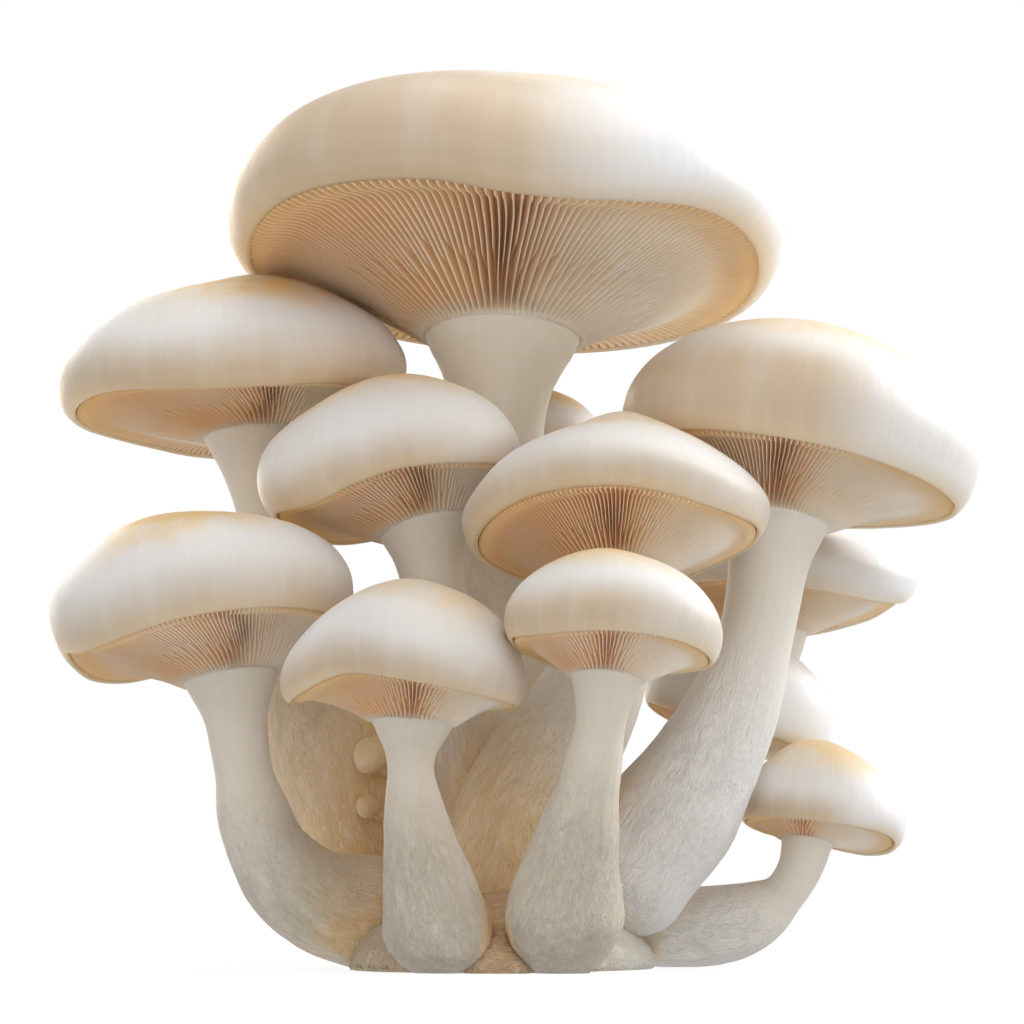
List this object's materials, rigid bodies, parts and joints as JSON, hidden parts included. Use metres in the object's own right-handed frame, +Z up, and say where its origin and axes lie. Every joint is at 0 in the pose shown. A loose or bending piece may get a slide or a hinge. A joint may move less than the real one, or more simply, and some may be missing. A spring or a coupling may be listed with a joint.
{
  "type": "oyster mushroom cluster",
  "caption": "Upright cluster of pale oyster mushrooms: domed caps of several sizes with radial gills, on curved stems that grow from one fused base cut flat below.",
  "frame": {"origin": "on the flat cut face of the base, in the middle of the feet of the stems", "axes": "+Z up, square to the cut face; -Y towards the front, the side the gills of the leaning caps face; +X to the right of someone who looks at the front"},
  "size_m": [0.1879, 0.1545, 0.1825],
  "materials": {
    "cap_flesh": "satin cream-white skin with yellow-brown mottling round the crown",
    "gills": "matt, thin pale edges with tan gaps between",
    "stem_flesh": "matt, smooth by the gills and covered with fine fibres lower down",
    "base_flesh": "matt, downy, tan in the creases"
  },
  "bodies": {
    "root": {"top_cap": "cap_flesh", "top_gills": "gills", "top_stem": "stem_flesh", "upper_left_cap": "cap_flesh", "upper_left_gills": "gills", "upper_left_stem": "stem_flesh", "middle_left_cap": "cap_flesh", "middle_left_gills": "gills", "middle_left_stem": "stem_flesh", "centre_cap": "cap_flesh", "centre_gills": "gills", "centre_stem": "stem_flesh", "lower_left_cap": "cap_flesh", "lower_left_gills": "gills", "lower_left_stem": "stem_flesh", "front_left_cap": "cap_flesh", "front_left_gills": "gills", "front_left_stem": "stem_flesh", "front_centre_cap": "cap_flesh", "front_centre_gills": "gills", "front_centre_stem": "stem_flesh", "right_cap": "cap_flesh", "right_gills": "gills", "right_stem": "stem_flesh", "right_rear_cap": "cap_flesh", "right_rear_gills": "gills", "right_rear_stem": "stem_flesh", "low_right_rear_cap": "cap_flesh", "low_right_rear_gills": "gills", "low_right_rear_stem": "stem_flesh", "far_right_cap": "cap_flesh", "far_right_gills": "gills", "far_right_stem": "stem_flesh", "rear_cap": "cap_flesh", "rear_gills": "gills", "rear_stem": "stem_flesh", "base": "base_flesh", "bud_upper": "cap_flesh", "bud_lower": "cap_flesh"}
  },
  "joints": []
}
